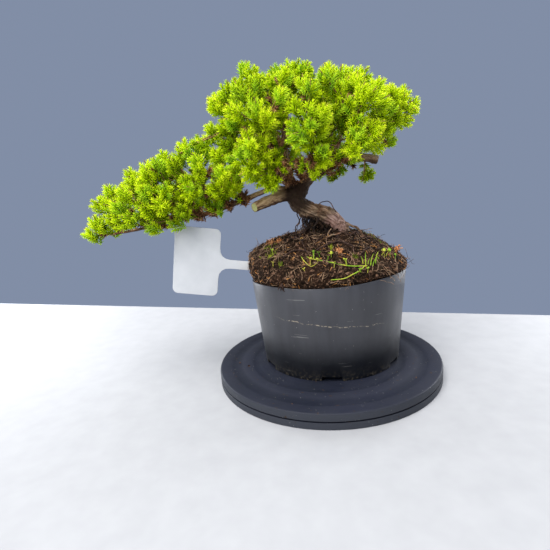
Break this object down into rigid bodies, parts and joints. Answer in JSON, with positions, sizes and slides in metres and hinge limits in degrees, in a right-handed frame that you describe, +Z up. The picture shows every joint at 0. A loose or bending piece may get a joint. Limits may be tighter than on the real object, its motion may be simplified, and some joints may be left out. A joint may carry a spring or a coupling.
{
  "type": "potted garden juniper bonsai on a turntable",
  "caption": "Small garden juniper bonsai with a leaning trunk and one long cascading branch, in a low black nursery pot with a blank label, on a round turning base.",
  "frame": {"origin": "centre of the turntable's underside, on the surface that it stands on", "axes": "+Z up along the turntable's axis, +X towards the short right side of the crown, -X towards the cascading branch, +Y away from the viewer"},
  "size_m": [0.3048, 0.2, 0.2701],
  "materials": {
    "dark_plastic": "fine-grained dark blue-grey plastic, worn and dusty",
    "steel": "bright turned steel",
    "cage_plastic": "plain natural nylon",
    "pot_plastic": "satin black nursery plastic, scratched and dusty",
    "soil": "dark fibrous peat and bark with fine pale roots",
    "wood": "rough grey-brown flaking bark",
    "label_plastic": "smooth white plastic, blank",
    "leaves": "living green leaves, satin"
  },
  "bodies": {
    "stand": {"turntable_base": "dark_plastic", "pivot_pin": "steel", "bearing_cage": "cage_plastic", "bearing_ball_1": "steel", "bearing_ball_2": "steel", "bearing_ball_3": "steel", "bearing_ball_4": "steel", "bearing_ball_5": "steel", "bearing_ball_6": "steel"},
    "plant": {"turntable_top": "dark_plastic", "pot": "pot_plastic", "root_ball": "soil", "trunk_and_limbs": "wood", "plant_label": "label_plastic", "weed_grass": "leaves", "spray_apex": "leaves", "spray_apex_right": "leaves", "spray_apex_back": "leaves", "spray_apex_front": "leaves", "spray_shoulder_left": "leaves", "spray_left_edge": "leaves", "spray_left_hem": "leaves", "spray_left_face": "leaves", "spray_left_back": "leaves", "spray_face_left": "leaves", "spray_face_low_left": "leaves", "spray_hanging_left": "leaves", "spray_face_middle": "leaves", "spray_face_low": "leaves", "spray_face_high": "leaves", "spray_face_right": "leaves", "spray_face_low_right": "leaves", "spray_crest_right": "leaves", "spray_crest_middle": "leaves", "spray_crest_front": "leaves", "spray_crest_far_right": "leaves", "spray_right_top": "leaves", "spray_right_edge": "leaves", "spray_right_face": "leaves", "spray_right_hem": "leaves", "spray_under_right": "leaves", "spray_under_arm": "leaves", "spray_back_left": "leaves", "spray_back_middle": "leaves", "spray_back_right": "leaves", "spray_back_low": "leaves", "spray_cascade_tip": "leaves", "spray_cascade_top_6": "leaves", "spray_cascade_front_4": "leaves", "spray_cascade_top_5": "leaves", "spray_cascade_front_3": "leaves", "spray_cascade_top_4": "leaves", "spray_cascade_under": "leaves", "spray_cascade_front_2": "leaves", "spray_cascade_top_3": "leaves", "spray_cascade_front_1": "leaves", "spray_cascade_top_1": "leaves", "spray_cascade_back_3": "leaves", "spray_cascade_back_2": "leaves", "spray_cascade_back_1": "leaves"}
  },
  "joints": [
    {"name": "turntable_spin", "type": "hinge", "parent": "stand", "child": "plant", "pos_m": [0, 0, 0.0058], "axis": [0, 0, 1], "continuous": true}
  ]
}
